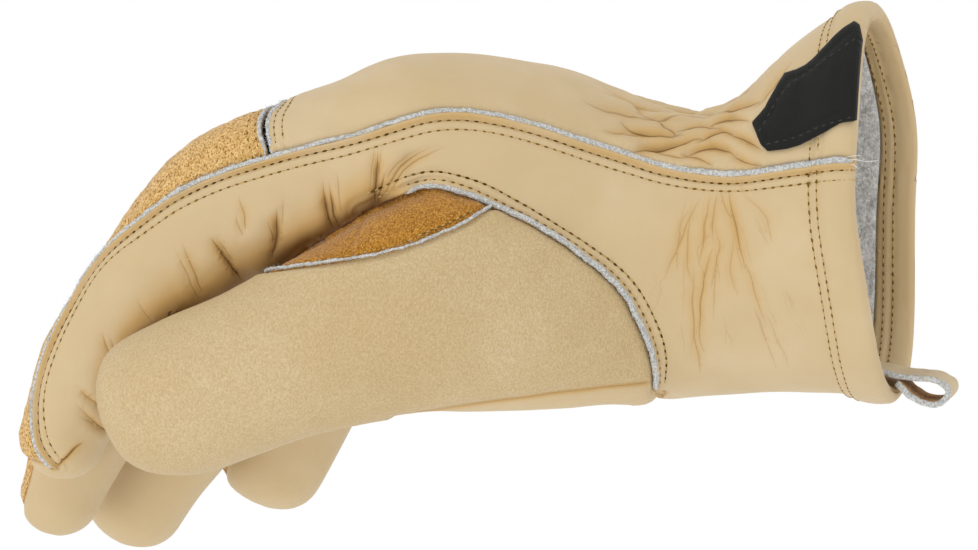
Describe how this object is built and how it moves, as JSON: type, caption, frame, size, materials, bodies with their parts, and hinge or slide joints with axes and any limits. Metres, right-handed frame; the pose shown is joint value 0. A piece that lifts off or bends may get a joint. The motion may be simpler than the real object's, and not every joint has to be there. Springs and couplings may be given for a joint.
{
  "type": "insulated driver glove",
  "caption": "Right-hand insulated driver glove of smooth leather and suede, with a fleece lining, a stretch band over the knuckles, a gathered wrist, a bare label and a pull loop.",
  "frame": {"origin": "centre of the cuff's mouth, where the wrist goes in", "axes": "+X out of the cuff along the forearm, -Y to the thumb side, +Z to the back of the hand"},
  "size_m": [0.2357, 0.1286, 0.1403],
  "materials": {
    "smooth_leather": "smooth grain side, soft sheen, fine creases",
    "grained_leather": "pebbled grain side, soft sheen",
    "suede": "napped flesh side, matt",
    "stretch_cloth": "ribbed stretch cloth, matt",
    "label_cloth": "close woven cloth, matt",
    "fleece": "pile fleece, matt"
  },
  "bodies": {
    "root": {"palm_leather": "smooth_leather", "back_leather": "smooth_leather", "knuckle_band": "stretch_cloth", "index_back_suede": "suede", "middle_back_suede": "suede", "ring_back_suede": "suede", "little_back_suede": "suede", "thumb_leather": "grained_leather", "thumb_underside": "smooth_leather", "thumb_gusset_suede": "suede", "fleece_lining": "fleece", "label_patch": "label_cloth", "pull_loop": "smooth_leather"}
  },
  "joints": []
}
